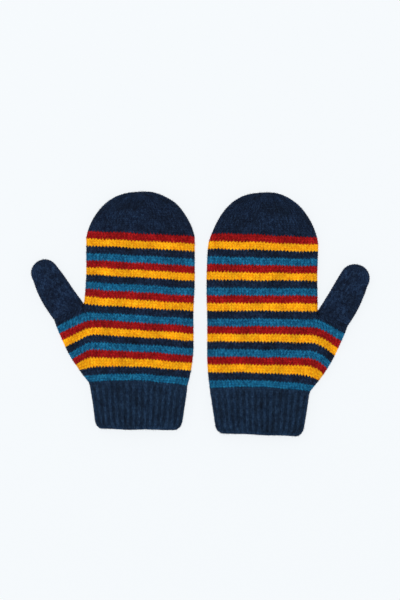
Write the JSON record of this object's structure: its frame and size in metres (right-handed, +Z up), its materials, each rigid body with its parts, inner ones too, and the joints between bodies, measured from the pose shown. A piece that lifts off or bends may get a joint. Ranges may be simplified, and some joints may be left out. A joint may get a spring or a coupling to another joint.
{
  "type": "pair of knitted mittens",
  "caption": "Pair of striped wool mittens with ribbed cuffs, round crowns and set-out thumbs, lying flat; each is a hollow knitted tube that a hand slides into.",
  "frame": {"origin": "on the table under the middle of the pair", "axes": "+X across both mittens from the left one to the right one, +Y from the cuffs to the fingertips, +Z up out of the table"},
  "size_m": [0.3578, 0.2568, 0.013],
  "materials": {
    "wool_navy": "matte",
    "wool_navy_rib": "matte",
    "wool_blue": "matte",
    "wool_red": "matte",
    "wool_gold": "matte"
  },
  "bodies": {
    "left_hand": {"left_cast_on_edge": "wool_navy_rib", "left_cuff": "wool_navy_rib", "left_stripe_01_blue": "wool_blue", "left_stripe_02_navy": "wool_navy", "left_stripe_03_gold": "wool_gold", "left_stripe_04_red": "wool_red", "left_stripe_05_blue": "wool_blue", "left_stripe_06_navy": "wool_navy", "left_stripe_07_gold": "wool_gold", "left_stripe_08_red": "wool_red", "left_stripe_09_blue": "wool_blue", "left_stripe_10_navy": "wool_navy", "left_stripe_11_gold": "wool_gold", "left_stripe_12_red": "wool_red", "left_stripe_13_blue": "wool_blue", "left_stripe_14_navy": "wool_navy"},
    "left_fingers": {"left_stripe_15_gold": "wool_gold", "left_stripe_16_red": "wool_red", "left_stripe_17_blue": "wool_blue", "left_stripe_18_navy": "wool_navy", "left_stripe_19_gold": "wool_gold", "left_stripe_20_red": "wool_red", "left_crown": "wool_navy"},
    "left_thumb": {"left_thumb": "wool_navy"},
    "right_hand": {"right_cast_on_edge": "wool_navy_rib", "right_cuff": "wool_navy_rib", "right_stripe_01_blue": "wool_blue", "right_stripe_02_navy": "wool_navy", "right_stripe_03_gold": "wool_gold", "right_stripe_04_red": "wool_red", "right_stripe_05_blue": "wool_blue", "right_stripe_06_navy": "wool_navy", "right_stripe_07_gold": "wool_gold", "right_stripe_08_red": "wool_red", "right_stripe_09_blue": "wool_blue", "right_stripe_10_navy": "wool_navy", "right_stripe_11_gold": "wool_gold", "right_stripe_12_red": "wool_red", "right_stripe_13_blue": "wool_blue", "right_stripe_14_navy": "wool_navy"},
    "right_fingers": {"right_stripe_15_gold": "wool_gold", "right_stripe_16_red": "wool_red", "right_stripe_17_blue": "wool_blue", "right_stripe_18_navy": "wool_navy", "right_stripe_19_gold": "wool_gold", "right_stripe_20_red": "wool_red", "right_crown": "wool_navy"},
    "right_thumb": {"right_thumb": "wool_navy"}
  },
  "joints": [
    {"name": "right_mitten_slide", "type": "slide", "parent": "left_hand", "child": "right_hand", "axis": [1, 0, 0], "range_m": [0, 0.15]},
    {"name": "left_fingers_fold", "type": "hinge", "parent": "left_hand", "child": "left_fingers", "pos_m": [-0.06289, 0.03813, 0.0132], "axis": [0.9981, -0.0617, 0], "range_deg": [0, 80]},
    {"name": "left_thumb_fold", "type": "hinge", "parent": "left_hand", "child": "left_thumb", "pos_m": [-0.13849, 0.00213, 0.0132], "axis": [0.8822, 0.471, 0], "range_deg": [0, 70]},
    {"name": "right_fingers_fold", "type": "hinge", "parent": "right_hand", "child": "right_fingers", "pos_m": [0.06478, 0.03534, 0.0132], "axis": [0.9999, -0.011, 0], "range_deg": [0, 80]},
    {"name": "right_thumb_fold", "type": "hinge", "parent": "right_hand", "child": "right_thumb", "pos_m": [0.13991, -0.00477, 0.0132], "axis": [0.9016, -0.4325, 0], "range_deg": [0, 70]}
  ]
}
